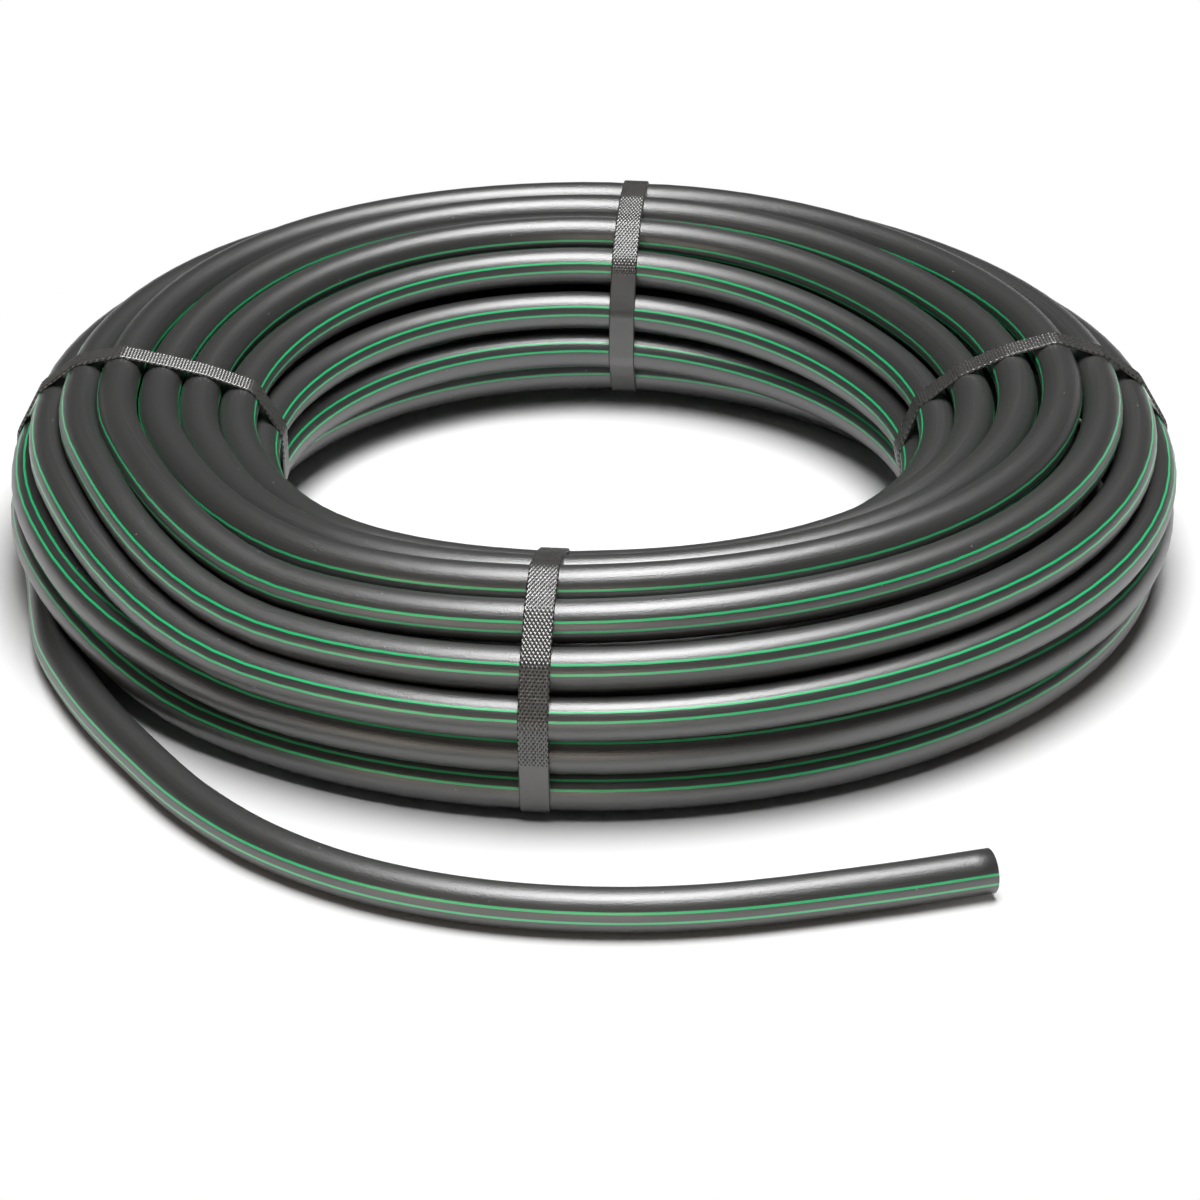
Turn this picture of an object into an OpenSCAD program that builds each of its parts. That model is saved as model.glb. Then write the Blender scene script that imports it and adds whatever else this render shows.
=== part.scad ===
// Coil of polyethylene irrigation hose, tied in four places, with its outer end led out on the floor.
// The pile is five loops high, so its outer layer is wound as one unbroken tube over a plain core
// that stands for the inner turns. Loops are level circles, and step to the next place in one sector.

/* [Hose] */
// Outer diameter of the hose
tube_d = 16; // [14:0.5:18]
// Wall thickness of the hose
wall = 1.2; // [0.8:0.1:2]
// Length of the straight cut end with an open bore
end_len = 40; // [25:1:50]

/* [Coil] */
// Centre-line radius of the pile's belly, its widest loops
belly_r = 228; // [210:1:245]
// Centre-line radius of the narrowest loops, around the eye
eye_r = 134; // [122:1:146]
// How far the lowest outer loop lies in from the belly
foot_in = 6; // [3:0.5:7]
// How far the lowest inner loop lies out from the eye
heel_out = 16; // [13:0.5:19]
// How far the top row's outer end lies in from the belly
crown_in = 32; // [28:1:36]
// Width of the top row, before it falls into the eye
top_w = 14; // [12:0.5:18]
// Height from the lowest row's centre to the top row's centre
pile_h = 66.5; // [60:0.5:72]
// Height from the lowest row's centre to the upper end of the steep sides
side_top_h = 31.5; // [28:0.5:35]
// Height from the lowest row's centre to the lower end of the steep sides
side_foot_h = 12.5; // [11:0.5:15]
// Drop from the top row to the shoulders, where the sides turn in to the top
shoulder_drop = 16; // [14:0.5:19]
// How far the shoulders lie in from the belly and out from the eye
shoulder_in = 10; // [8:0.5:12]
// Least gap between neighbouring loops along the layer
turn_gap = 1; // [0.8:0.1:2]

/* [Straps] */
// Width of each tie strap
strap_w = 11; // [6:0.5:14]
// Thickness of each tie strap
strap_t = 0.7; // [0.5:0.1:1.2]
// Clearance between a strap or the core and the loops
fit_gap = 0.3; // [0.2:0.05:0.4]

/* [Hidden] */

tube_r = tube_d / 2;
bore_r = tube_r - wall;
loop_rings = 24;
coil_sides = 6;
tail_sides = 12;

// The section's centre line, as [radius, height above the lowest row]: up the outer side, inwards over
// the top, down into the eye and outwards along the foot. Both sides lean in a little at the foot.
foot_r = belly_r - foot_in;
crown_r = belly_r - crown_in;
shoulder_h = pile_h - shoulder_drop;
outer_lean = 1;
eye_lean = 2;
section = [[foot_r, 0], [belly_r - outer_lean, side_foot_h], [belly_r, side_top_h],
           [belly_r - shoulder_in, shoulder_h], [crown_r, pile_h], [crown_r - top_w, pile_h],
           [eye_r + shoulder_in, shoulder_h], [eye_r, side_top_h], [eye_r + eye_lean, side_foot_h],
           [eye_r + heel_out, 0]];
sides = len(section);
function corner(i) = section[i % sides];
run = [for (i = [0 : sides - 1]) norm(corner(i + 1) - corner(i))];
function run_to(i) = i == 0 ? 0 : run_to(i - 1) + run[i - 1];
around = run_to(sides);

// Loops that fit around the section, and the way from one to the next
places = floor(around / (tube_d + turn_gap));
place_step = around / places;
loops = places - 0.6;

// A point of the section's outline at distance s along it, and the same with its corners rounded
function wrapped(s) = s - around * floor(s / around);
function on_run(s, i = 0) = s <= run[i] || i == sides - 1
    ? corner(i) + (corner(i + 1) - corner(i)) * min(1, s / run[i])
    : on_run(s - run[i], i + 1);
corner_reach = 5;
blend_steps = [-1, -0.5, 0, 0.5, 1];
function layer(s) = let (sum = [for (b = blend_steps) on_run(wrapped(s + b * corner_reach))])
    [for (axis = [0, 1]) [for (p = sum) p[axis]] * [for (b = blend_steps) 1 / len(blend_steps)]];

// Where the first loop starts, and the sector in which each loop steps to the next place
start_az = -175;
step_from = -110;
step_to = -162;
foot_z = strap_t + fit_gap + tube_r;
function eased(x) = let (c = max(0, min(1, x))) c * c * (3 - 2 * c);
function place(turn) = let (az = start_az + 360 * (1 + floor(turn) - turn))
    floor(turn) + eased((step_from - az) / (step_from - step_to));
function loop_point(turn) = let (p = layer(place(turn) * place_step), az = start_az - 360 * turn)
    [p[0] * cos(az), p[0] * sin(az), foot_z + p[1]];
loop_points = [for (i = [0 : floor(loops * loop_rings)]) loop_point(i / loop_rings)];

// The coil's two ends run straight for one diameter
function unit(v) = v / norm(v);
last = len(loop_points) - 1;
start_dir = [-sin(start_az), cos(start_az), 0];
end_az = start_az - 360 * last / loop_rings;
end_dir = [sin(end_az), -cos(end_az), 0];
coil_start = loop_points[0] + start_dir * tube_d;
coil_points = concat([coil_start], loop_points, [loop_points[last] + end_dir * tube_d]);

// The tail lies on the floor, from the coil's start to the straight cut end, which it meets with a hair's
// gap. Its points are [azimuth, distance out from the lowest outer loop].
tail_route = [[-166, 0], [-159, 4], [-152, 10], [-145, 15], [-138, 20], [-130, 27], [-122, 44], [-114, 58],
              [-106, 68], [-98, 74], [-90, 77], [-82, 78]];
mouth_at = [-63, 84];
mouth_flare = 11;
function on_floor(p) = [(foot_r + p[1]) * cos(p[0]), (foot_r + p[1]) * sin(p[0]), tube_r];
mouth = let (p = on_floor(mouth_at)) [round(p[0]), round(p[1]), tube_r];
mouth_turn = mouth_at[0] + 90 - mouth_flare;
mouth_dir = [cos(mouth_turn), sin(mouth_turn), 0];
end_joint = 0.02;
tail_points = concat([coil_start], [for (p = tail_route) on_floor(p)],
    [mouth - mouth_dir * (end_len + end_joint)]);

// Least gaps on the centre-line points
loop_gap = min([for (i = [0 : last], j = [i + loop_rings / 2 : 1 : last])
    norm(loop_points[i] - loop_points[j])]) - tube_d;
tail_gap = min([for (p = tail_points, i = [loop_rings / 2 : last]) norm(p - loop_points[i])]) - tube_d;
echo(loops = loops, least_gap_between_loops = loop_gap, least_gap_to_the_tail = tail_gap);
function path_length(points) = let (count = len(points),
    steps = [for (i = [1 : count - 1]) norm(points[i] - points[i - 1])]) steps * [for (step = steps) 1];
echo(wound_length = path_length(coil_points), tail_length = path_length(tail_points) + end_len);

// The origin lies under the middle of the whole object's plan, to a hundredth
plan = concat(coil_points, tail_points, [mouth]);
function reach(axis, dir) = max([for (p = plan) p[axis] * dir]) * dir + dir * tube_r;
function middle(axis) = round((reach(axis, 1) + reach(axis, -1)) / 2 * 100) / 100;
centre = [middle(0), middle(1), 0];
echo(centre = centre);

// A closed tube along points, square to from_dir and to_dir at its two ends
module tube(points, from_dir, to_dir, n) {
    count = len(points);
    function along(i) = i == 0 ? from_dir : i == count - 1 ? to_dir
        : unit(unit(points[i + 1] - points[i]) + unit(points[i] - points[i - 1]));
    function ring(i) = let (t = along(i), side = unit(cross(t, [0, 0, 1])), top = cross(side, t))
        [for (j = [0 : n - 1]) points[i] + tube_r * (side * sin(360 * j / n) - top * cos(360 * j / n))];
    function at(i, j) = i * n + j % n;
    skin = [for (i = [0 : count - 2], j = [0 : n - 1], half = [0, 1]) half == 0
        ? [at(i, j), at(i, j + 1), at(i + 1, j + 1)] : [at(i, j), at(i + 1, j + 1), at(i + 1, j)]];
    first_cap = [for (j = [1 : n - 2]) [at(0, 0), at(0, j + 1), at(0, j)]];
    last_cap = [for (j = [1 : n - 2]) [at(count - 1, 0), at(count - 1, j), at(count - 1, j + 1)]];
    polyhedron([for (i = [0 : count - 1], p = ring(i)) p], concat(skin, first_cap, last_cap));
}

module hose_coil() {
    color("#3a3c3f") translate(-centre) tube(coil_points, -start_dir, end_dir, coil_sides);
}

// The core's outline: the section's own, drawn in by a tube's radius and the fit gap. The loops are
// straight between their rings, so the outer side stands back by as much as they cut the corner.
chord_share = cos(180 / loop_rings);
function inward(i) = let (t = unit(corner(i + 1) - corner(i))) [-t[1], t[0]];
function core_point(i) = let (before = inward(i + sides - 1), after = inward(i), both = before + after,
    drawn_in = both * (tube_r + fit_gap) / (1 + before * after))
    [corner(i)[0] * (drawn_in[0] < 0 ? chord_share : 1) + drawn_in[0], corner(i)[1] + foot_z + drawn_in[1]];

module inner_turns() {
    color("#303235") translate(-centre) rotate_extrude($fn = 96)
        polygon([for (i = [0 : sides - 1]) core_point(i)]);
}

module hose_tail() {
    color("#3a3c3f") translate(-centre) tube(tail_points, start_dir, mouth_dir, tail_sides);
}

module hose_end() {
    color("#3a3c3f") translate(mouth - centre) rotate([0, 90, mouth_turn]) translate([0, 0, -end_len])
        difference() {
            cylinder(r = tube_r, h = end_len, $fn = 48);
            translate([0, 0, -1]) cylinder(r = bore_r, h = end_len + 2, $fn = 48);
        }
}

// Centres of the loops that a strap at an azimuth crosses, on the straight stretch between two rings
function crossings(az) = let (first = (start_az - az) / 360 - floor((start_az - az) / 360))
    [for (turn = [first : 1 : last / loop_rings]) let (ring = turn * loop_rings, i = floor(ring),
        from = loop_points[i], to = loop_points[min(last, i + 1)], way = [cos(az), sin(az), 0],
        p = from + (to - from) * (ring - i)) [p * way, p[2]]];

module strap(az) {
    module around_loops(r) {
        hull() for (c = crossings(az)) translate(c) circle(r = r, $fn = 32);
    }
    color("#26282a") translate(-centre) rotate([90, 0, az]) linear_extrude(strap_w, center = true)
        difference() {
            around_loops(tube_r + fit_gap + strap_t);
            around_loops(tube_r + fit_gap);
        }
}

module strap_front() strap(-95);
module strap_back() strap(84);
module strap_left() strap(176);
module strap_right() strap(5);

hose_coil();
inner_turns();
hose_tail();
hose_end();
strap_front();
strap_back();
strap_left();
strap_right();
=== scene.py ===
"""A tied coil of polyethylene irrigation hose: one stripe-marked tube along its whole winding, and four
embossed straps. Lengths are millimetres until they reach a mesh; MM turns them into metres. Azimuths are
degrees round the coil's axis, and a hose's turn is counted from the outer layer's first point."""
import math

import bpy
import numpy as np
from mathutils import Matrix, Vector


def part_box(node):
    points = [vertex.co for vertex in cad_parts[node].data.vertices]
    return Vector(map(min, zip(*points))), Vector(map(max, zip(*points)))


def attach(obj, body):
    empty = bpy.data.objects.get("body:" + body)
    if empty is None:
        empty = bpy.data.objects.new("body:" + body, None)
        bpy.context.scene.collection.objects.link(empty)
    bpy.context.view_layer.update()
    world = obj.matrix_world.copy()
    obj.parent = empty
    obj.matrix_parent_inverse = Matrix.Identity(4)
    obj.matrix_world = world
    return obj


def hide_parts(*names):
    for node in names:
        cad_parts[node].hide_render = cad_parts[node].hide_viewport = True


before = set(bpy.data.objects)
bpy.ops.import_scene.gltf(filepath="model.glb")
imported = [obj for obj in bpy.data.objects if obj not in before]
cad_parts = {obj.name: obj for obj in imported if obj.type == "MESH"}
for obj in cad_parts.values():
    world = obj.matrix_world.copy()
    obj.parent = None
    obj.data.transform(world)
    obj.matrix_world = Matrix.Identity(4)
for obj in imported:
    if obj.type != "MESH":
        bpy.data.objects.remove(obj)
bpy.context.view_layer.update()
MM = 0.001

# ---------------------------------------------------------------- sizes, as in part.scad

TUBE_D = 16.0
TUBE_R = TUBE_D / 2
WALL = 1.2
END_LEN = 40.0
BELLY_R, EYE_R = 228.0, 134.0
FOOT_IN, HEEL_OUT, CROWN_IN, TOP_W = 6.0, 16.0, 32.0, 14.0
PILE_H, SIDE_TOP_H, SIDE_FOOT_H = 66.5, 31.5, 12.5
SHOULDER_DROP, SHOULDER_IN = 16.0, 10.0
OUTER_LEAN, EYE_LEAN = 1.0, 2.0
FOOT_R, HEEL_R, CROWN_R = BELLY_R - FOOT_IN, EYE_R + HEEL_OUT, BELLY_R - CROWN_IN
SHOULDER_H = PILE_H - SHOULDER_DROP
TURN_GAP = 1.0
STRAP_W, STRAP_T, FIT_GAP = 11.0, 0.7, 0.3
FOOT_Z = STRAP_T + FIT_GAP + TUBE_R
CORNER_REACH = 5.0
BLEND_STEPS = (-1, -0.5, 0, 0.5, 1)
SHORT_OF_LAST_LOOP = 0.6
STRAP_AZ = {"front": -95.0, "back": 84.0, "left": 176.0, "right": 5.0}
# The tail's points on the floor, as azimuth and distance out from the lowest outer loop
TAIL = [(-166, 0), (-159, 4), (-152, 10), (-145, 15), (-138, 20), (-130, 27), (-122, 44), (-114, 58),
        (-106, 68), (-98, 74), (-90, 77), (-82, 78)]
MOUTH_AT = (-63.0, 84.0)
MOUTH_FLARE = 11
MOUTH_TURN = MOUTH_AT[0] + 90 - MOUTH_FLARE
START_AZ = -175.0
# The sector in which each loop steps to its next place, begun 10 degrees later than on the solids
STEP_FROM, STEP_TO = -120.0, -162.0

SECTION = np.array([
    (FOOT_R, 0), (BELLY_R - OUTER_LEAN, SIDE_FOOT_H), (BELLY_R, SIDE_TOP_H),
    (BELLY_R - SHOULDER_IN, SHOULDER_H), (CROWN_R, PILE_H), (CROWN_R - TOP_W, PILE_H),
    (EYE_R + SHOULDER_IN, SHOULDER_H), (EYE_R, SIDE_TOP_H), (EYE_R + EYE_LEAN, SIDE_FOOT_H), (HEEL_R, 0)])

# The coil's axis in the row frame: the plain core is a ring round it
core_low, core_high = (np.array(c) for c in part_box("inner_turns"))
AXIS = np.array([(core_low[0] + core_high[0]) / 2, (core_low[1] + core_high[1]) / 2, 0.0])


def eased(x):
    c = np.clip(x, 0.0, 1.0)
    return c * c * (3 - 2 * c)


def bell(distance, reach):
    return np.exp(-(distance / reach) ** 2)


def lengths(vectors):
    return np.linalg.norm(vectors, axis=1)


def run_along(points):
    """Distance of each point along the line that they form."""
    return np.concatenate([[0], np.cumsum(lengths(np.diff(points, axis=0)))])


# ---------------------------------------------------------------- the winding

OUTLINE = np.vstack([SECTION, SECTION[:1]])
RUN_TO = run_along(OUTLINE)
AROUND = RUN_TO[-1]
PLACES = int(AROUND / (TUBE_D + TURN_GAP))
PLACE_STEP = AROUND / PLACES
LOOPS = PLACES - SHORT_OF_LAST_LOOP


def layer(s):
    """Radius and height of the outer layer's centre line at distances s around the section."""
    blends = [(s + b * CORNER_REACH) % AROUND for b in BLEND_STEPS]
    return np.stack([np.mean([np.interp(d, RUN_TO, OUTLINE[:, i]) for d in blends], axis=0)
                     for i in (0, 1)], axis=-1)


def outer_place(turn):
    whole = np.floor(turn)
    azimuth = START_AZ + 360 * (1 + whole - turn)
    return whole + eased((STEP_FROM - azimuth) / (STEP_FROM - STEP_TO))


# A part of each loop's step waits until it has passed the left and the back, more so nearer the eye
LAG = 0.45
LAG_FULL, LAG_GONE = 9.0, 11.0
LAG_BEGINS, LAG_GROWS_OVER = 25, 70
LAG_ENDS, LAG_FADES_OVER = 245, 60


def lagging(place, azimuth):
    """How far behind its place a loop lies, in places."""
    az = azimuth % 360
    waits = eased((az - LAG_BEGINS) / LAG_GROWS_OVER) * eased((LAG_ENDS - az) / LAG_FADES_OVER)
    return LAG * waits * eased(place / LAG_FULL) * eased((PLACES - place) / (PLACES - LAG_GONE))


# Waves of a hand-tied pile: height, number round the pile, and phase. They don't lift the pile's foot.
RADIUS_WAVES = [(0.8, 2, 1.7), (0.5, 3, 0.0)]
LIFT_WAVES = [(0.5, 2, 0.6), (0.4, 5, 0.0)]
FULL_LIFT_H = 20
# Bumps of the pile's outline at a side: middle place, reach in places, how far out and how far up.
# The front's lower loops lie drawn in. The left is flatter, and the back's inner shoulder is higher.
FRONT_BUMPS = [(1.0, 0.6, -5.0, 1.2), (2.5, 0.9, 0.4, -0.6), (4.1, 0.9, 0.0, 0.7)]
NEAR_LEFT_BUMPS = [(4.0, 1.8, 0.5, -2.5)]
NEAR_LEFT_AZ, NEAR_LEFT_REACH = 238.0, 22.0
LEFT_BUMPS = [(5.4, 1.4, 0.0, -5.5), (3.6, 0.9, 0.8, 1.6), (7.5, 1.5, -0.6, 0.0)]
LEFT_AZ, LEFT_REACH = 180, 38.0
LEFT_IN, LEFT_IN_FROM = 2.4, 2.5
BACK_BUMPS = [(6.7, 1.3, 0.0, 5.0)]
# How closely the front's and the back's bumps keep to the middle of their side
SIDE_POWER = 3


def wander(place, azimuth, height):
    """Radius and height by which a hand-tied pile lies off true circles; neighbours stray together."""
    az = np.radians(azimuth)
    shift = 2 * np.pi * place / PLACES
    radius, lift = (sum(size * np.sin(count * az + shift + phase) for size, count, phase in waves)
                    for waves in (RADIUS_WAVES, LIFT_WAVES))
    lift = lift * np.clip(height / FULL_LIFT_H, 0, 1)
    left = bell(azimuth % 360 - LEFT_AZ, LEFT_REACH)
    near_left = bell(azimuth % 360 - NEAR_LEFT_AZ, NEAR_LEFT_REACH)
    front, back = (0.5 - 0.5 * np.sin(az)) ** SIDE_POWER, (0.5 + 0.5 * np.sin(az)) ** SIDE_POWER
    radius = radius - LEFT_IN * left * eased(place / LEFT_IN_FROM)
    for share, bumps in ((front, FRONT_BUMPS), (near_left, NEAR_LEFT_BUMPS), (left, LEFT_BUMPS),
                         (back, BACK_BUMPS)):
        for middle, reach, out, up in bumps:
            near = share * bell(place - middle, reach)
            radius, lift = radius + out * near, lift + up * near
    return np.stack([radius, lift], axis=-1)


# The foot's second loop lies out under the first one where that climbs, and fills the space there
FILL_OUT = 12.8
FILL_RISE, FILL_FALL = (-92.0, -124.0), (-138.0, -160.0)


def fill_out(turn):
    azimuth = START_AZ + 360 * (PLACES - 1 - turn)
    rise = eased((FILL_RISE[0] - azimuth) / (FILL_RISE[0] - FILL_RISE[1]))
    fall = eased((azimuth - FILL_FALL[1]) / (FILL_FALL[0] - FILL_FALL[1]))
    return FILL_OUT * rise * fall


# The turns inside the pile: a flat row that winds in, a climb, and a flat row that winds out again
INNER_STEP = 16.1
INNER_LOW, INNER_HIGH = 17.4, 34.4
INNER_OUT_R = 204.0
ENTRY_TURNS, ENTRY_HASTE = 0.24, 1.5
ROW_TURNS = 3.08
CLIMB_TURNS = 0.5
BURIED_TURNS = ENTRY_TURNS + 2 * ROW_TURNS + CLIMB_TURNS


def buried(turn, start_r):
    """Radius and height of the turns inside the pile, turn counted from the outer layer's last point."""
    t = turn - ENTRY_TURNS
    reverse = ROW_TURNS + CLIMB_TURNS / 2
    depth = reverse - np.abs(t - reverse)
    entry_r = start_r + (INNER_OUT_R - start_r) * eased(ENTRY_HASTE * turn / ENTRY_TURNS)
    radius = np.where(t < 0, entry_r, INNER_OUT_R - INNER_STEP * np.maximum(depth, 0))
    climb = (INNER_HIGH - INNER_LOW) * eased((t - ROW_TURNS) / CLIMB_TURNS)
    return np.stack([radius, INNER_LOW * eased(turn / ENTRY_TURNS) + climb], axis=-1)


def at_azimuth(rz, turn):
    az = np.radians(START_AZ - 360 * turn)
    return np.stack([rz[:, 0] * np.cos(az), rz[:, 0] * np.sin(az), rz[:, 1] + FOOT_Z], axis=-1)


RINGS_A_TURN = 96
# The waves and bumps fade in and out over this many turns at the outer layer's ends
SETTLE_TURNS = 0.3
outer_turns = np.arange(0, LOOPS, 1 / RINGS_A_TURN)
outer_azimuth = START_AZ - 360 * outer_turns
outer_places = outer_place(outer_turns)
outer_places = outer_places - lagging(outer_places, outer_azimuth)
outer_rz = layer(outer_places * PLACE_STEP)
settled = np.clip(outer_turns / SETTLE_TURNS, 0, 1) * np.clip((LOOPS - outer_turns) / SETTLE_TURNS, 0, 1)
outer_rz = outer_rz + wander(outer_places, outer_azimuth, outer_rz[:, 1]) * settled[:, None]
outer_rz[:, 0] += fill_out(outer_turns)
inner_turns = np.arange(1 / RINGS_A_TURN, BURIED_TURNS, 1 / RINGS_A_TURN)
inner_rz = buried(inner_turns, outer_rz[-1][0])
coil = np.vstack([at_azimuth(outer_rz, outer_turns), at_azimuth(inner_rz, outer_turns[-1] + inner_turns)])


# ---------------------------------------------------------------- the tail

TAIL_STEP = 7
CURVE_STEPS = 24
# Where the tail swings out from the pile it lies a little wider than its chosen points
SWING_AZ, SWING_REACH, SWING_OUT = -131.0, 7.0, 4.5


def between(a, b, start, end, t):
    """The line from a at start to b at end, at t."""
    return a + (b - a) * (t - start) / (end - start)


def smooth_route(points, step):
    """A centripetal Catmull-Rom curve through points, resampled every step."""
    p = np.array(points, float)
    p = np.vstack([2 * p[0] - p[1], p, 2 * p[-1] - p[-2]])
    out = []
    for a, b, c, d in zip(p, p[1:], p[2:], p[3:]):
        t1, t2, t3 = np.cumsum(lengths(np.array([b - a, c - b, d - c])) ** 0.5)
        t = np.linspace(t1, t2, CURVE_STEPS, endpoint=False)[:, None]
        ab, bc, cd = between(a, b, 0, t1, t), between(b, c, t1, t2, t), between(c, d, t2, t3, t)
        out.append(between(between(ab, bc, 0, t2, t), between(bc, cd, t1, t3, t), t1, t2, t))
    fine = np.vstack(out + [p[-2:-1]])
    run = run_along(fine)
    ticks = np.linspace(0, run[-1], max(2, round(run[-1] / step)) + 1)
    return np.stack([np.interp(ticks, run, fine[:, i]) for i in range(3)], axis=-1)


def on_floor(azimuth, out):
    az = math.radians(azimuth)
    out = out + SWING_OUT * math.exp(-((azimuth - SWING_AZ) / SWING_REACH) ** 2)
    return np.array([(FOOT_R + out) * math.cos(az), (FOOT_R + out) * math.sin(az), TUBE_R])


MOUTH = np.append(np.round(on_floor(*MOUTH_AT)[:2]), TUBE_R)
mouth_dir = np.array([math.cos(math.radians(MOUTH_TURN)), math.sin(math.radians(MOUTH_TURN)), 0.0])
end_back = MOUTH - mouth_dir * END_LEN
start_az = math.radians(START_AZ)
start_dir = np.array([-math.sin(start_az), math.cos(start_az), 0.0])
tail_points = [MOUTH, end_back] + [on_floor(*p) for p in reversed(TAIL)]
tail_route = smooth_route(tail_points + [coil[0] + start_dir * TUBE_D, coil[0]], TAIL_STEP)
tail_route[:, 2] = np.maximum(tail_route[:, 2], TUBE_R)

# The whole hose, from its mouth to its buried end. The tail counts as a little under half a turn.
TAIL_TURNS = 0.45
route = np.vstack([tail_route, coil[1:]])
tail_rings = len(tail_route)
turn_at = np.concatenate([np.linspace(-TAIL_TURNS, 0, tail_rings), outer_turns[1:],
                          outer_turns[-1] + inner_turns])

# ---------------------------------------------------------------- camera, from the fitted view

VIEW_EL = math.radians(26.2)
VIEW_DIST = 1.62
SENSOR_MM = 36
# In pixels of the photograph's square frame: the focal length, and where the coil's axis meets the floor
FRAME_PX = 1200.0
LENS_PX = 3956.0
AXIS_PX = (590.5, 543.5)


def make_camera():
    data = bpy.data.cameras.new("camera")
    data.sensor_width = SENSOR_MM
    data.lens = LENS_PX / FRAME_PX * SENSOR_MM
    data.shift_x = (FRAME_PX / 2 - AXIS_PX[0]) / FRAME_PX
    data.shift_y = -(FRAME_PX / 2 - AXIS_PX[1]) / FRAME_PX
    data.clip_end = 50
    camera = bpy.data.objects.new("camera", data)
    bpy.context.scene.collection.objects.link(camera)
    camera.location = (AXIS[0], AXIS[1] - VIEW_DIST * math.cos(VIEW_EL), VIEW_DIST * math.sin(VIEW_EL))
    camera.rotation_euler = (math.pi / 2 - VIEW_EL, 0, 0)
    bpy.context.scene.camera = camera


# ---------------------------------------------------------------- meshes

def mesh_piece(name, verts, faces, materials, face_slots, corner_uvs, flat_faces=()):
    """A smooth-shaded object in the row frame, from millimetre vertices round the coil's axis."""
    data = bpy.data.meshes.new(name)
    data.from_pydata((verts * MM + AXIS).tolist(), [], faces)
    for material in materials:
        data.materials.append(material)
    data.polygons.foreach_set("material_index", np.asarray(face_slots, dtype=np.int32))
    smooth = np.ones(len(faces), dtype=bool)
    smooth[list(flat_faces)] = False
    data.polygons.foreach_set("use_smooth", smooth)
    data.uv_layers.new(name="UVMap").data.foreach_set("uv", np.asarray(corner_uvs, dtype=float).ravel())
    data.update()
    piece = bpy.data.objects.new(name, data)
    bpy.context.scene.collection.objects.link(piece)
    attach(piece, "root")
    return piece


def grid_quads(rows, columns, wrap_rows=False):
    """Vertex numbers of the quads of a grid closed across its columns, and each quad's row and column."""
    last_row = rows if wrap_rows else rows - 1
    i, j = (a.ravel() for a in np.meshgrid(np.arange(last_row), np.arange(columns), indexing="ij"))
    up, right = (i + 1) % rows, (j + 1) % columns
    return np.stack([i * columns + j, up * columns + j, up * columns + right, i * columns + right], -1), i, j


def quad_uvs(u, v, i, j):
    """The corners' UVs of the quads in rows i and columns j."""
    return np.stack([np.stack([u[i], u[i + 1], u[i + 1], u[i]], -1),
                     np.stack([v[j], v[j], v[j + 1], v[j + 1]], -1)], -1).reshape(-1, 2)


# ---------------------------------------------------------------- hose

# Two pairs of stripes, half a turn apart. Angles are degrees from the outward side, upwards.
STRIPE_HALF = 3.3
PAIR_HALF = 13.3
PLAIN_STEPS = 14
stripe_edges = [-PAIR_HALF - STRIPE_HALF, -PAIR_HALF + STRIPE_HALF, 0.0, PAIR_HALF - STRIPE_HALF,
                PAIR_HALF + STRIPE_HALF]
plain_angles = list(np.linspace(stripe_edges[-1], 180 + stripe_edges[0], PLAIN_STEPS + 1)[1:-1])
PROFILE = np.array([half * 180 + a for half in (0, 1) for a in stripe_edges + plain_angles])
# Each half's columns that lie between the two edges of a stripe
STRIPE_COLUMNS = [half * (len(PROFILE) // 2) + k for half in (0, 1) for k in (0, 3)]

# How the hose is rolled as it lies: a turn, and there the outer stripe pair's middle angle
ROLLS = [(-0.45, 7), (0.0, 14), (0.77, 38), (1.77, 66), (2.77, 32), (3.02, 25), (3.52, 28), (3.77, 26),
         (4.02, 24), (4.52, 22), (4.77, 10), (5.02, 13), (5.52, -3), (5.77, 2), (6.02, 7), (6.27, 8),
         (6.52, -3), (6.77, 4), (7.02, 10), (7.27, 13), (7.6, 0), (8.27, -18), (9.27, -19), (10.27, -28),
         (11.27, -25), (12, -20), (13.5, 30), (13.8, 42), (14.1, 42), (15, 0), (24, 0)]

# Where a strap presses the hose, the side under it is a little flattened
DENT = 0.35
DENT_REACH = 9.0
# The cut end's bevelled edge, and how many rings of the tube have a bore inside them
CUT_BEVEL = 0.3
BORE_RINGS = 9


def strap_dents(points, places):
    """For each ring of the outer layer, how far a strap presses it in, and from which side."""
    reach = np.zeros(len(points))
    for azimuth in STRAP_AZ.values():
        a = math.radians(azimuth)
        across = points[:, 1] * math.cos(a) - points[:, 0] * math.sin(a)
        near = points[:, 0] * math.cos(a) + points[:, 1] * math.sin(a) > 0
        reach += near * bell(across, DENT_REACH)
    slope = layer(places * PLACE_STEP + 1) - layer(places * PLACE_STEP - 1)
    slope /= lengths(slope)[:, None]
    return reach * DENT, np.stack([slope[:, 1], -slope[:, 0]], -1)


def tube_rings(points, radius, roll):
    """Ring vertices of a tube along points, its stripes rolled as the hose lies, and their normals."""
    along = np.gradient(points, axis=0)
    along /= lengths(along)[:, None]
    outward = np.cross([0, 0, 1.0], along)
    outward /= lengths(outward)[:, None]
    top = np.cross(along, outward)
    angle = np.radians(PROFILE[None, :] + roll[:, None])
    normals = outward[:, None] * np.cos(angle)[..., None] + top[:, None] * np.sin(angle)[..., None]
    return points[:, None] + radius * normals, normals


def press_under_straps(skin, normals):
    """Moves in the outer layer's rings where a strap crosses them."""
    outer = slice(tail_rings, tail_rings + len(outer_turns) - 1)
    depth, side = strap_dents(route[outer], outer_places[1:])
    radial = route[outer, :2] / lengths(route[outer, :2])[:, None]
    pressed = np.concatenate([radial * side[:, :1], side[:, 1:]], axis=1)
    facing = np.einsum("ijk,ik->ij", normals[outer], pressed)
    skin[outer] -= normals[outer] * (depth[:, None] * np.clip(facing, 0, 1) ** 2)[..., None]


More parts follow.
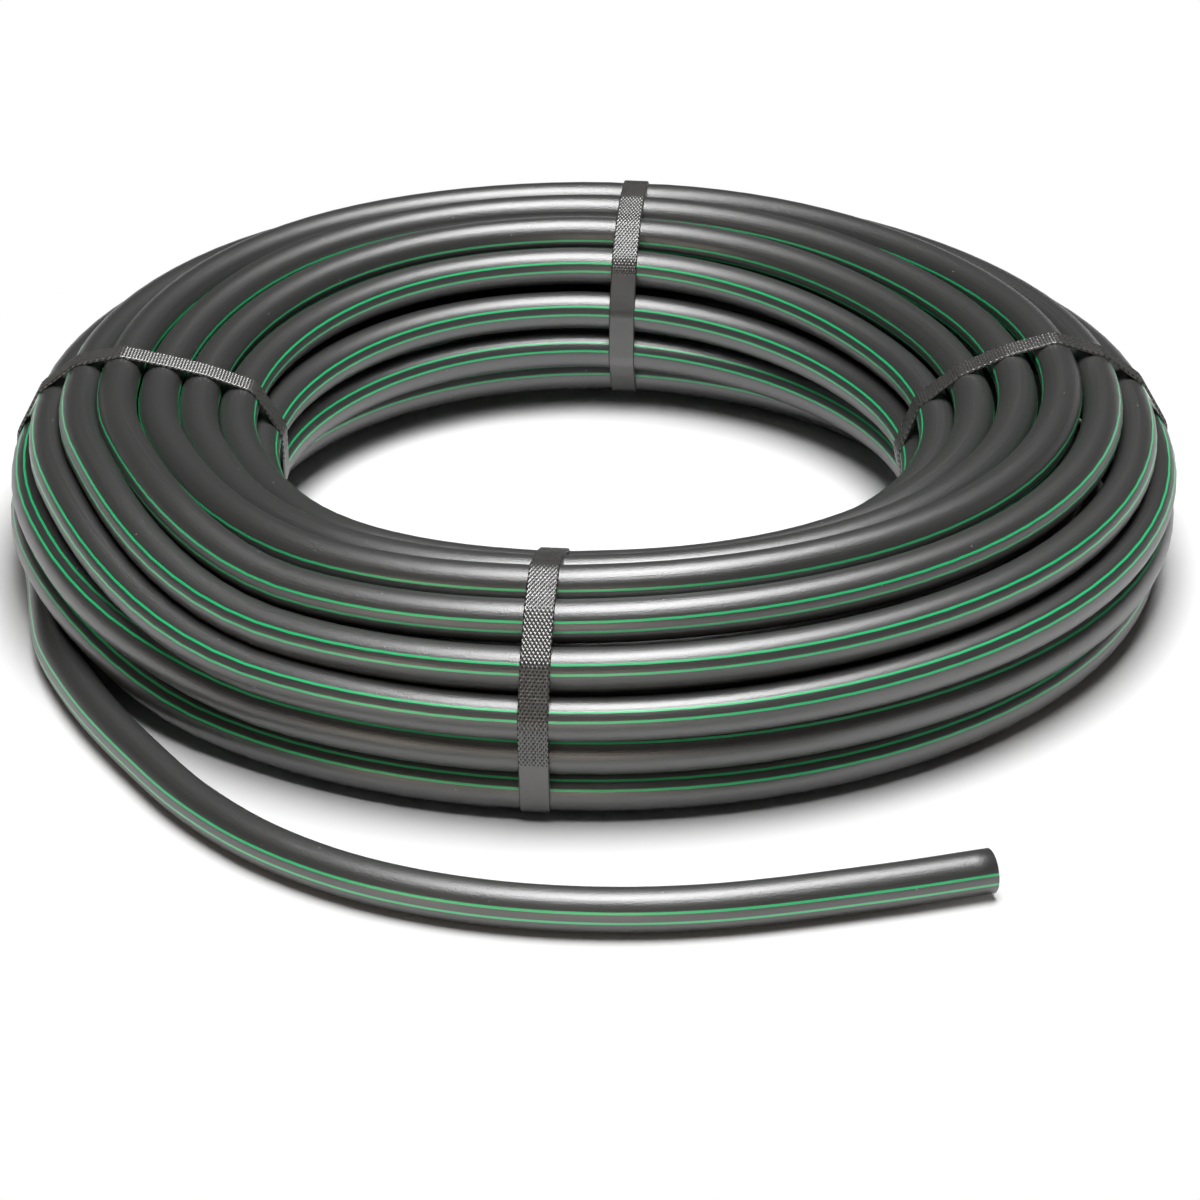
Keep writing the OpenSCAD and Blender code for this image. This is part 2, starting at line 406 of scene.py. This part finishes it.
def make_hose(hose_black, stripe_green):
    roll = np.interp(turn_at, *zip(*ROLLS))
    skin, normals = tube_rings(route, TUBE_R, roll)
    press_under_straps(skin, normals)
    bore, _ = tube_rings(route[:BORE_RINGS], TUBE_R - WALL, roll[:BORE_RINGS])
    lip, _ = tube_rings(route[:2], TUBE_R - WALL + CUT_BEVEL / 2, roll[:2])
    rim, _ = tube_rings(route[:2], TUBE_R - CUT_BEVEL, roll[:2])
    skin[0] -= mouth_dir * CUT_BEVEL
    bore[0] -= mouth_dir * CUT_BEVEL / 2
    rings = np.concatenate([bore[::-1], lip[:1], rim[:1], skin])
    count, n = len(rings), len(PROFILE)
    quads, i, j = grid_quads(count, n)
    run = run_along(route)
    along = np.concatenate([-run[:BORE_RINGS][::-1], [0, 0], run]) * MM
    around = np.append(PROFILE, PROFILE[0] + 360) / 360
    uvs = np.concatenate([quad_uvs(along, around, i, j), np.zeros((2 * n, 2))])
    caps = [list(range(n))[::-1], list(range((count - 1) * n, count * n))]
    striped = np.isin(j, STRIPE_COLUMNS) & (i >= BORE_RINGS)
    cut = np.flatnonzero((i >= BORE_RINGS - 1) & (i <= BORE_RINGS + 1)).tolist()
    hose = mesh_piece("hose", rings.reshape(-1, 3), quads.tolist() + caps, [hose_black, stripe_green],
                      striped.astype(int).tolist() + [0, 0], uvs, cut + [len(quads), len(quads) + 1])
    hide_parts("hose_coil", "inner_turns", "hose_tail", "hose_end")


# ---------------------------------------------------------------- straps

# Heights over the loops' skin: a strap's underside, its ground, and the diamonds' relief above the ground
STRAP_IN = -0.2
STRAP_BASE = 0.62
RELIEF = STRAP_T + FIT_GAP - STRAP_BASE
DIAMOND_ACROSS, DIAMOND_ALONG = 1.5, 2.5
STEP_ALONG, STEP_ACROSS = 0.325, 0.275
# A strap's long edges are rounded over this width, down to this share of its thickness
STRAP_EDGE, EDGE_SHARE = 0.45, 0.35
# Below this share of the relief a strap takes the ground's darker material, whose colour is painted shade of
# the recesses
SHADED_GROUND_BELOW = 0.35
# Where each strap was welded it is smooth: the side of the pile, and the height up to which it is
WELDS = {"front": ("outer", 23.0), "back": ("eye", 60.0), "left": ("eye", 34.0), "right": ("outer", 26.0)}
WELD_FADE, WELD_RAISED = 6, 0.12
PILE_MIDDLE = 182.0


def hull(points):
    """Corners of the convex outline of points, in order."""
    ordered = sorted(map(tuple, points))
    corners = []
    for chain in (ordered, ordered[::-1]):
        start = len(corners)
        for p in chain:
            while len(corners) - start >= 2:
                (ax, ay), (bx, by) = corners[-2], corners[-1]
                if (bx - ax) * (p[1] - ay) - (by - ay) * (p[0] - ax) > 0:
                    break
                corners.pop()
            corners.append(p)
        corners.pop()
    return np.array(corners)


def taut_outline(centres, radius, step):
    """Points, normals and distances along a band pulled taut round circles."""
    corners = hull(centres)
    edge = np.roll(corners, -1, 0) - corners
    length = lengths(edge)
    heading = np.unwrap(np.arctan2(edge[:, 1], edge[:, 0]))
    points, normals = [], []
    for k, corner in enumerate(corners):
        before = heading[k - 1] if k else heading[-1] - 2 * math.pi
        for turn in np.linspace(before, heading[k], 2 + int((heading[k] - before) * radius / step)):
            n = np.array([math.sin(turn), -math.cos(turn)])
            points.append(corner + n * radius)
            normals.append(n)
        n = np.array([math.sin(heading[k]), -math.cos(heading[k])])
        for share in np.linspace(0, 1, 2 + int(length[k] / step))[1:-1]:
            points.append(corner + edge[k] * share + n * radius)
            normals.append(n)
    run = run_along(np.array(points + points[:1]))
    count = int(run[-1] / step)
    ticks = np.arange(count) * run[-1] / count
    even = [np.stack([np.interp(ticks, run, np.append(a[:, c], a[0, c])) for c in (0, 1)], -1)
            for a in (np.array(points), np.array(normals))]
    return even[0], even[1], ticks


def loop_crossings(azimuth):
    """Radius and height of the outer loops where a strap crosses them."""
    first = ((START_AZ - azimuth) / 360) % 1
    turns = np.arange(first, outer_turns[-1], 1)
    return np.stack([np.interp(turns, outer_turns, outer_rz[:, 0]),
                     np.interp(turns, outer_turns, outer_rz[:, 1]) + FOOT_Z], -1)


def make_strap(name, finishes_and_shade):
    """A band round the loops, given the materials of its raised diamonds, of the ground between them, whose
    darker colour is painted shade of the recesses, and of the weld.
    """
    azimuth = math.radians(STRAP_AZ[name])
    points, normals, along = taut_outline(loop_crossings(STRAP_AZ[name]), TUBE_R, STEP_ALONG)
    across = np.linspace(-STRAP_W / 2, STRAP_W / 2, int(STRAP_W / STEP_ACROSS) + 1)
    side, weld_top = WELDS[name]
    on_side = (points[:, 0] > PILE_MIDDLE) == (side == "outer")
    welded = np.where(on_side, 1 - eased((points[:, 1] - weld_top) / WELD_FADE), 0)
    diamonds = eased(0.5 + 0.5 * np.cos(2 * np.pi * across / DIAMOND_ACROSS)
                     * np.cos(2 * np.pi * along / DIAMOND_ALONG)[:, None])
    edge = np.sqrt(np.clip((STRAP_W / 2 - np.abs(across)) / STRAP_EDGE, 0, 1))
    height = STRAP_BASE + RELIEF * diamonds * (1 - welded[:, None]) + WELD_RAISED * welded[:, None]
    height = (height - STRAP_IN) * (EDGE_SHARE + (1 - EDGE_SHARE) * edge) + STRAP_IN
    over = np.concatenate([across, across[::-1][[0, -1]]])
    height = np.concatenate([height, np.full((len(points), 2), STRAP_IN)], axis=1)
    rz = points[:, None] + normals[:, None] * height[..., None]
    verts = np.stack([rz[..., 0] * math.cos(azimuth) - over * math.sin(azimuth),
                      rz[..., 0] * math.sin(azimuth) + over * math.cos(azimuth),
                      np.maximum(rz[..., 1], 0)], -1)
    rows, columns = height.shape
    quads, i, j = grid_quads(rows, columns, True)
    uvs = quad_uvs(np.append(along, along[-1] + STEP_ALONG) * MM, np.append(over, over[0]) * MM, i, j)
    # Quads of the ground between the diamonds take the darker material, whose colour is painted shade of the
    # recesses
    ground = np.append(diamonds < SHADED_GROUND_BELOW, np.zeros((rows, 2), dtype=bool), axis=1)[i, j]
    strap = mesh_piece("tie_" + name, verts.reshape(-1, 3), quads.tolist(), finishes_and_shade,
                       np.where(welded[i] > 0.5, 2, ground.astype(int)), uvs)
    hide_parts("strap_" + name)


# ---------------------------------------------------------------- materials

class Nodes:
    """Short names for adding nodes to a material."""

    def __init__(self, name):
        self.material = bpy.data.materials.new(name)
        self.material.use_nodes = True
        self.tree = self.material.node_tree
        self.shader = self.tree.nodes["Principled BSDF"]

    def add(self, kind, **inputs):
        node = self.tree.nodes.new(kind)
        for name, value in inputs.items():
            self.set(node, name.replace("_", " "), value)
        return node

    def set(self, node, socket, value):
        if isinstance(value, bpy.types.NodeSocket):
            self.tree.links.new(value, node.inputs[socket])
        else:
            node.inputs[socket].default_value = value

    def noise(self, vector, scale, detail=2.0, roughness=0.5):
        node = self.add("ShaderNodeTexNoise", Vector=vector, Scale=scale, Detail=detail, Roughness=roughness)
        return node.outputs["Fac"]

    def stretched(self, vector, scale):
        node = self.add("ShaderNodeMapping", Vector=vector)
        node.inputs["Scale"].default_value = scale
        return node.outputs["Vector"]

    def ramp(self, fac, low, high, low_value=0.0, high_value=1.0):
        node = self.add("ShaderNodeMapRange", Value=fac)
        for socket, value in zip(("From Min", "From Max", "To Min", "To Max"),
                                 (low, high, low_value, high_value)):
            node.inputs[socket].default_value = value
        return node.outputs["Result"]

    def math(self, operation, a, b):
        node = self.add("ShaderNodeMath")
        node.operation = operation
        self.set(node, 0, a)
        self.set(node, 1, b)
        return node.outputs[0]

    def plus(self, a, b):
        return self.math("ADD", a, b)

    def times(self, a, b):
        return self.math("MULTIPLY", a, b)

    def mix(self, fac, a, b):
        node = self.add("ShaderNodeMix")
        node.data_type = "RGBA"
        self.set(node, 0, fac)
        self.set(node, 6, a)
        self.set(node, 7, b)
        return node.outputs[2]

    def finish(self, colour, gloss, rough, relief):
        self.set(self.shader, "Base Color", colour)
        self.set(self.shader, "IOR", GLOSS_IOR)
        self.set(self.shader, "Specular IOR Level", gloss)
        self.set(self.shader, "Roughness", rough)
        bump = self.add("ShaderNodeBump", Height=relief, Strength=BUMP_STRENGTH, Distance=BUMP_HEIGHT)
        self.set(self.shader, "Normal", bump.outputs["Normal"])


GLOSS_IOR = 1.65
BUMP_STRENGTH, BUMP_HEIGHT = 0.4, 0.0003
# Noise scales a metre: streaks and scuffs run along the hose, fibres along a strap
STREAKS, SCUFFS, FIBRES = (5, 70, 1), (30, 45, 1), (60, 2200, 1)
HOSE_TONE, HOSE_GRAIN, DUST_CELLS = 11, 1700, 150.0
STRAP_TONE, WELD_FLOW = 60, 260
# The values of a noise between which something grows from none to full
NOISE_SPAN, SCUFF_SPAN, SPECK_SPAN, DUST_EDGE = (0.3, 0.7), (0.66, 0.8), (0.06, 0.03), 0.02
SCUFF_GREY, DUST_GREY = (0.2, 0.2, 0.2, 1), (0.4, 0.38, 0.35, 1)
HOSE_ROUGH, SCUFFED, DUSTED, DUST_COVER = (0.31, 0.38), 0.12, 0.3, 0.6
STRAP_ROUGH_RANGE = 0.07
# Shares of the tone and of the streaks in a hose's colour, and of streaks and fibres in the relief
TONE_SHARE, STREAK_SHARE = 0.6, 0.4
STREAK_RELIEF, FIBRE_RELIEF = 0.4, 0.3


def extruded_plastic(name, dark, light, dust_share):
    """Extruded polyethylene: streaks along the hose, fine grain, faint scuffs and a little dust."""
    n = Nodes(name)
    coordinates = n.add("ShaderNodeTexCoord")
    place, along = coordinates.outputs["Object"], coordinates.outputs["UV"]
    streaks = n.noise(n.stretched(along, STREAKS), 1, 3, 0.6)
    tone = n.noise(place, HOSE_TONE, 3)
    grain = n.noise(place, HOSE_GRAIN, 2, 0.6)
    scuffs = n.ramp(n.noise(n.stretched(along, SCUFFS), 1, 4, 0.7), *SCUFF_SPAN)
    cells = n.add("ShaderNodeTexVoronoi", Vector=place, Scale=DUST_CELLS)
    speck = n.ramp(cells.outputs["Distance"], *SPECK_SPAN)
    picked = n.add("ShaderNodeSeparateColor", Color=cells.outputs["Color"]).outputs[0]
    dust = n.times(speck, n.ramp(picked, 1 - dust_share, 1 - dust_share + DUST_EDGE))
    shade = n.plus(n.times(tone, TONE_SHARE), n.times(streaks, STREAK_SHARE))
    body = n.mix(shade, (*dark, 1), (*light, 1))
    scuffed = n.mix(n.times(scuffs, SCUFFED), body, SCUFF_GREY)
    rough = n.plus(n.ramp(streaks, *NOISE_SPAN, *HOSE_ROUGH), n.times(scuffs, SCUFFED))
    n.finish(n.mix(n.times(dust, DUST_COVER), scuffed, DUST_GREY), 1.0,
             n.plus(rough, n.times(dust, DUSTED)), n.plus(n.times(streaks, STREAK_RELIEF), grain))
    return n.material


def strap_plastic(name, dark, light, gloss, rough, flow=0.0):
    """Polypropylene strapping: fibres along it, an uneven tone, and the flow marks of a weld."""
    n = Nodes(name)
    coordinates = n.add("ShaderNodeTexCoord")
    place, along = coordinates.outputs["Object"], coordinates.outputs["UV"]
    fibres = n.noise(n.stretched(along, FIBRES), 1, 2)
    tone = n.noise(place, STRAP_TONE, 3)
    n.finish(n.mix(tone, (*dark, 1), (*light, 1)), gloss,
             n.ramp(tone, *NOISE_SPAN, rough, rough + STRAP_ROUGH_RANGE),
             n.plus(n.times(fibres, FIBRE_RELIEF), n.times(n.noise(place, WELD_FLOW, 3), flow)))
    return n.material


# ---------------------------------------------------------------- floor, world and lights

FLOOR_HALF = 5.0
FLOOR_WHITE = 0.78
# Past the pile's shadow the floor is plain white to the camera, to gloss and to clear parts
SHADOW_ENDS, WHITE_FROM = 0.27, 0.42
# The world's strength overhead and at the horizon, and how high up the horizon's light reaches
ZENITH, HORIZON, HORIZON_TOP = 0.22, 0.85, 0.7
WARM = (1.0, 0.86, 0.7)
LAMPS = {
    "overhead": dict(location=(0.1, -0.05, 1.7), target=(0, 0, 0), size=(1.55, 0.95), power=17.5,
                     colour=(1, 1, 1), spread=100),
    "low_front": dict(location=(-0.1, -3.2, 0.3), target=(0, 0, 0.05), size=(0.5, 0.3), power=9,
                      colour=WARM, spread=180),
    "low_left": dict(location=(-2.0, -2.75, 0.3), target=(0, 0, 0.05), size=(0.4, 0.3), power=9,
                     colour=WARM, spread=180)}


def make_floor():
    h = FLOOR_HALF
    data = bpy.data.meshes.new("floor")
    data.from_pydata([(-h, -h, 0), (h, -h, 0), (h, h, 0), (-h, h, 0)], [], [(0, 1, 2, 3)])
    floor = bpy.data.objects.new("floor", data)
    bpy.context.scene.collection.objects.link(floor)
    n = Nodes("floor_white")
    rays = n.add("ShaderNodeLightPath").outputs
    seen = n.math("MAXIMUM", rays["Is Camera Ray"], rays["Is Glossy Ray"])
    seen = n.math("MAXIMUM", seen, rays["Is Transmission Ray"])
    distance = n.add("ShaderNodeVectorMath")
    distance.operation = "LENGTH"
    n.set(distance, 0, n.add("ShaderNodeTexCoord").outputs["Object"])
    far = n.ramp(distance.outputs["Value"], SHADOW_ENDS, WHITE_FROM)
    n.set(n.shader, "Base Color", (FLOOR_WHITE,) * 3 + (1,))
    n.set(n.shader, "Roughness", 1.0)
    n.set(n.shader, "Specular IOR Level", 0.0)
    white = n.add("ShaderNodeEmission", Strength=1.0)
    shown = n.add("ShaderNodeMixShader", Fac=n.times(seen, far))
    n.set(shown, 1, n.shader.outputs[0])
    n.set(shown, 2, white.outputs[0])
    n.set(n.tree.nodes["Material Output"], "Surface", shown.outputs[0])
    data.materials.append(n.material)


def make_world():
    world = bpy.data.worlds.new("studio")
    world.use_nodes = True
    tree = world.node_tree
    direction = tree.nodes.new("ShaderNodeTexCoord").outputs["Generated"]
    split = tree.nodes.new("ShaderNodeSeparateXYZ")
    tree.links.new(direction, split.inputs[0])
    fade = tree.nodes.new("ShaderNodeMapRange")
    fade.interpolation_type = "SMOOTHSTEP"
    for socket, value in (("From Min", 0.0), ("From Max", HORIZON_TOP),
                          ("To Min", HORIZON), ("To Max", ZENITH)):
        fade.inputs[socket].default_value = value
    tree.links.new(split.outputs["Z"], fade.inputs["Value"])
    tree.links.new(fade.outputs["Result"], tree.nodes["Background"].inputs["Strength"])
    bpy.context.scene.world = world


def make_lamp(name, location, target, size, power, colour, spread):
    data = bpy.data.lights.new(name, "AREA")
    data.shape = "RECTANGLE"
    data.size, data.size_y = size
    data.energy = power
    data.color = colour
    data.spread = math.radians(spread)
    light = bpy.data.objects.new(name, data)
    bpy.context.scene.collection.objects.link(light)
    light.location = location
    aim = np.array(target) - np.array(location)
    light.rotation_euler = (math.atan2(math.hypot(aim[0], aim[1]), -aim[2]), 0,
                            math.atan2(aim[1], aim[0]) - math.pi / 2)


make_camera()
make_hose(
    extruded_plastic("hose_black", (0.029, 0.0295, 0.029), (0.041, 0.041, 0.0395), dust_share=0.35),
    extruded_plastic("stripe_green", (0.01, 0.46, 0.15), (0.015, 0.54, 0.19), dust_share=0.15))
strap_finishes_and_shade = [
    strap_plastic("strap_raised", (0.045, 0.044, 0.042), (0.07, 0.068, 0.064), gloss=1.0, rough=0.24),
    # The ground between the diamonds is far darker than the raised plastic: its colour is painted shade of
    # the recesses
    strap_plastic("strap_ground_painted_shade", (0.01, 0.01, 0.01), (0.016, 0.016, 0.015), gloss=0.3, rough=0.5),
    strap_plastic("strap_weld", (0.04, 0.039, 0.037), (0.058, 0.057, 0.054), gloss=1.0, rough=0.34,
                  flow=0.8)]
for strap_name in STRAP_AZ:
    make_strap(strap_name, strap_finishes_and_shade)
make_floor()
make_world()
for lamp_name, settings in LAMPS.items():
    make_lamp(lamp_name, **settings)
bpy.context.scene.view_settings.view_transform = "Standard"
